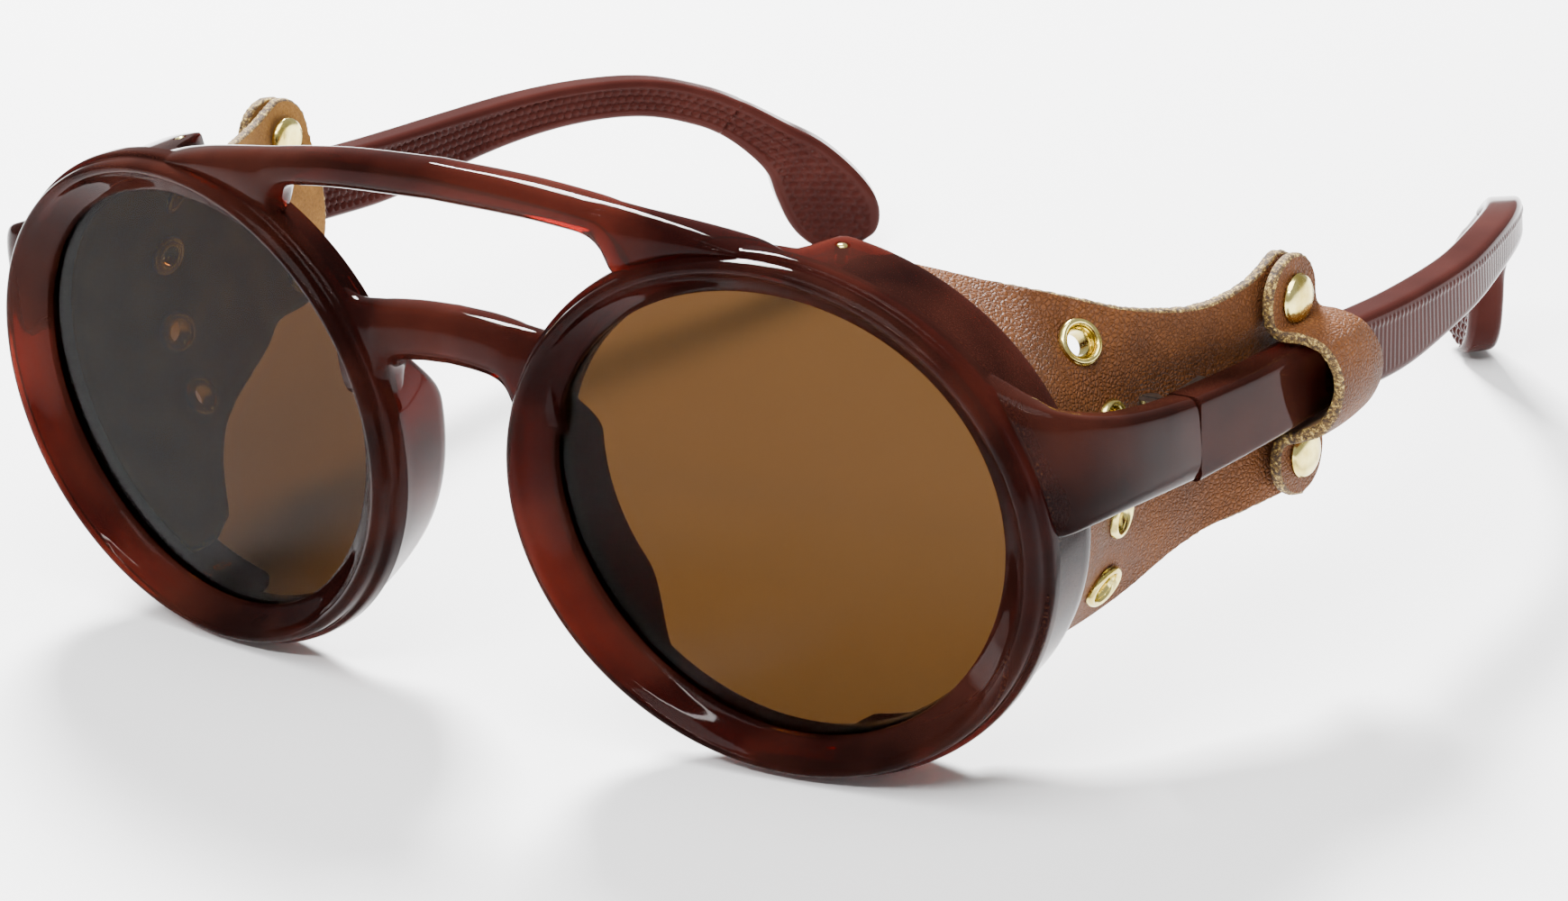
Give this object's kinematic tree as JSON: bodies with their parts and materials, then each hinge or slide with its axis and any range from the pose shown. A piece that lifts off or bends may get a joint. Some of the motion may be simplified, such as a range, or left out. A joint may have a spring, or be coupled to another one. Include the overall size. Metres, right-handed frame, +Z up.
{
  "type": "glacier glasses",
  "caption": "Round glacier glasses with tinted lenses, a brow bar, folding temples with drop tips, and leather side shields that loop round the temples.",
  "frame": {"origin": "middle of the footprint, on the surface that the rims and ear tips stand on", "axes": "+X to the wearer's left, -Y is the way the lenses face, +Z up"},
  "size_m": [0.1606, 0.1462, 0.0636],
  "materials": {
    "frame_plastic": "polished",
    "temple_plastic": "polished with a fine raised pattern",
    "lens": "polished, brown tint",
    "shield_leather": "pebbled grain outside, suede inside",
    "strap_leather": "pebbled grain",
    "brass": "polished",
    "hinge_steel": "satin"
  },
  "bodies": {
    "front": {"front_frame": "frame_plastic", "lens_left": "lens", "hinge_front_leaf_left": "hinge_steel", "hinge_screw_left": "hinge_steel", "side_shield_left": "shield_leather", "eyelets_left": "brass", "eyelet_washers_left": "brass", "shield_pins_left": "brass", "lens_right": "lens", "hinge_front_leaf_right": "hinge_steel", "hinge_screw_right": "hinge_steel", "side_shield_right": "shield_leather", "eyelets_right": "brass", "eyelet_washers_right": "brass", "shield_pins_right": "brass"},
    "temple_left": {"temple_left": "temple_plastic", "hinge_temple_leaf_left": "hinge_steel", "strap_loop_left": "strap_leather", "rivet_caps_left": "brass", "rivet_posts_left": "brass"},
    "temple_right": {"temple_right": "temple_plastic", "hinge_temple_leaf_right": "hinge_steel", "strap_loop_right": "strap_leather", "rivet_caps_right": "brass", "rivet_posts_right": "brass"}
  },
  "joints": [
    {"name": "temple_fold_left", "type": "hinge", "parent": "front", "child": "temple_left", "pos_m": [0.0698, -0.03984, 0.0335], "axis": [0, 0, 1], "range_deg": [0, 82], "deforming": ["side_shield_left"]},
    {"name": "temple_fold_right", "type": "hinge", "parent": "front", "child": "temple_right", "pos_m": [-0.0698, -0.03984, 0.0335], "axis": [0, 0, -1], "range_deg": [0, 70], "deforming": ["side_shield_right"]}
  ]
}
